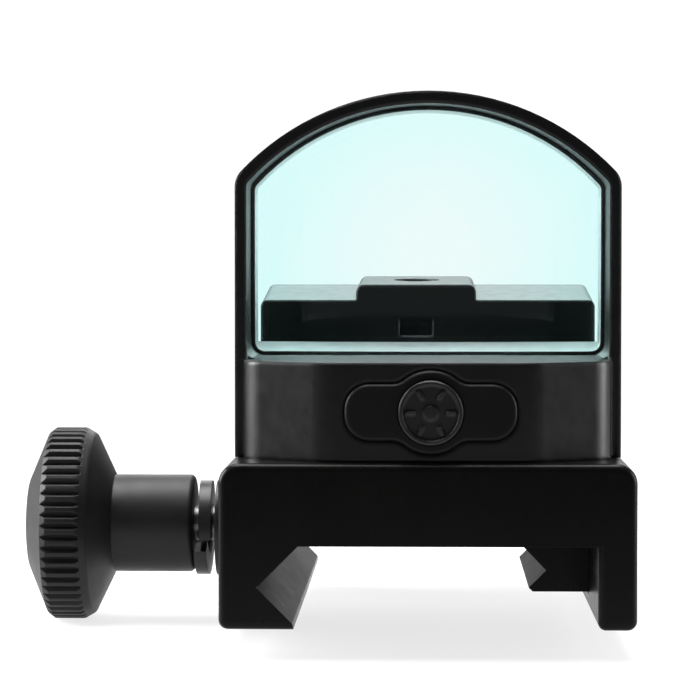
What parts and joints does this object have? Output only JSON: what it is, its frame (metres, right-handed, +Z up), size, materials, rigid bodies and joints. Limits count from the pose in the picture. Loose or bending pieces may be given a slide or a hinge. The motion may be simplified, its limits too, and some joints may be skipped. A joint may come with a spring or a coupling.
{
  "type": "mini reflex sight",
  "caption": "Open mini reflex sight with an arched hood, a coated lens and a press button, on a rail clamp with a knurled thumb screw.",
  "frame": {"origin": "centre of the rail seat, in the plane of the clamp screw", "axes": "+Z up, +Y along the rail from the end with the button to the end with the emitter block, +X to the side away from the thumb screw"},
  "size_m": [0.0407, 0.045, 0.0358],
  "materials": {
    "black_anodised": "fine bead-blasted hard anodised, satin",
    "knob_black": "turned and knurled, matte anodised",
    "black_steel": "black oxide",
    "bright_steel": "bright",
    "coated_glass": "polished, cyan reflecting coating",
    "window_glass": "polished",
    "bond_black": "cured black adhesive",
    "button_rubber": "matte moulded",
    "gasket_rubber": "matte",
    "switch_plastic": "moulded",
    "board_green": "solder-mask lacquer",
    "cell_steel": "nickel plated",
    "contact_metal": "gold flashed",
    "insulator": "thin foam sheet",
    "brass_part": "turned",
    "led_clear": "clear red tint",
    "flex_amber": "polyimide film"
  },
  "bodies": {
    "sight": {"mount_base": "black_anodised", "lock_washer": "black_steel", "flat_washer": "black_steel", "housing": "black_anodised", "lens": "coated_glass", "lens_bond": "bond_black", "button_pad": "button_rubber", "switch_body": "switch_plastic", "circuit_board": "board_green", "board_chips": "switch_plastic", "battery": "cell_steel", "battery_centre_contact": "contact_metal", "battery_side_contact": "contact_metal", "battery_insulator": "insulator", "base_gasket": "gasket_rubber", "emitter_window": "window_glass", "emitter_cover_plate": "black_anodised", "cover_screws": "black_steel", "windage_spring": "bright_steel", "elevation_spring": "bright_steel", "flex_lead": "flex_amber", "body_screws": "black_steel", "locating_pins": "bright_steel"},
    "thumb_screw": {"thumb_screw_knob": "knob_black", "clamp_screw_stud": "black_steel"},
    "jaw": {"clamp_jaw": "black_anodised"},
    "button": {"button_cap": "button_rubber", "switch_plunger": "switch_plastic"},
    "windage_adjuster": {"windage_screw": "black_steel", "windage_clip": "bright_steel"},
    "carriage": {"windage_carriage": "brass_part"},
    "elevation_adjuster": {"elevation_screw": "black_steel"},
    "carrier": {"emitter_carrier": "brass_part", "emitter_led": "led_clear", "emitter_mask": "bond_black"}
  },
  "joints": [
    {"name": "thumb_screw_turn", "type": "hinge", "parent": "sight", "child": "thumb_screw", "pos_m": [-0.02, 0, -0.00045], "axis": [-1, 0, 0], "range_deg": [0, 3024.5]},
    {"name": "jaw_slide", "type": "slide", "parent": "sight", "child": "jaw", "axis": [1, 0, 0], "range_m": [0, 0.0042]},
    {"name": "button_press", "type": "slide", "parent": "sight", "child": "button", "axis": [0, 1, 0], "range_m": [0, 0.00035], "stiffness_N_per_m": 1500, "springref_m": -0.0003},
    {"name": "windage_turn", "type": "hinge", "parent": "sight", "child": "windage_adjuster", "pos_m": [0.011, 0.0209, 0.0096], "axis": [1, 0, 0], "range_deg": [-360.5, 360.5]},
    {"name": "windage_slide", "type": "slide", "parent": "sight", "child": "carriage", "axis": [1, 0, 0], "range_m": [-0.0004, 0.0004], "deforming": ["windage_spring", "flex_lead"]},
    {"name": "elevation_turn", "type": "hinge", "parent": "carriage", "child": "elevation_adjuster", "pos_m": [-0.00085, 0.0209, 0.0155], "axis": [0, 0, 1], "range_deg": [-360.5, 360.5]},
    {"name": "elevation_slide", "type": "slide", "parent": "carriage", "child": "carrier", "axis": [0, 0, 1], "range_m": [-0.0004, 0.0004], "deforming": ["elevation_spring"]}
  ],
  "couplings": [
    {"joint": "thumb_screw_turn", "follows": "jaw_slide", "rad_per_m": 12566},
    {"joint": "windage_turn", "follows": "windage_slide", "rad_per_m": -15708},
    {"joint": "elevation_turn", "follows": "elevation_slide", "rad_per_m": -15708}
  ]
}
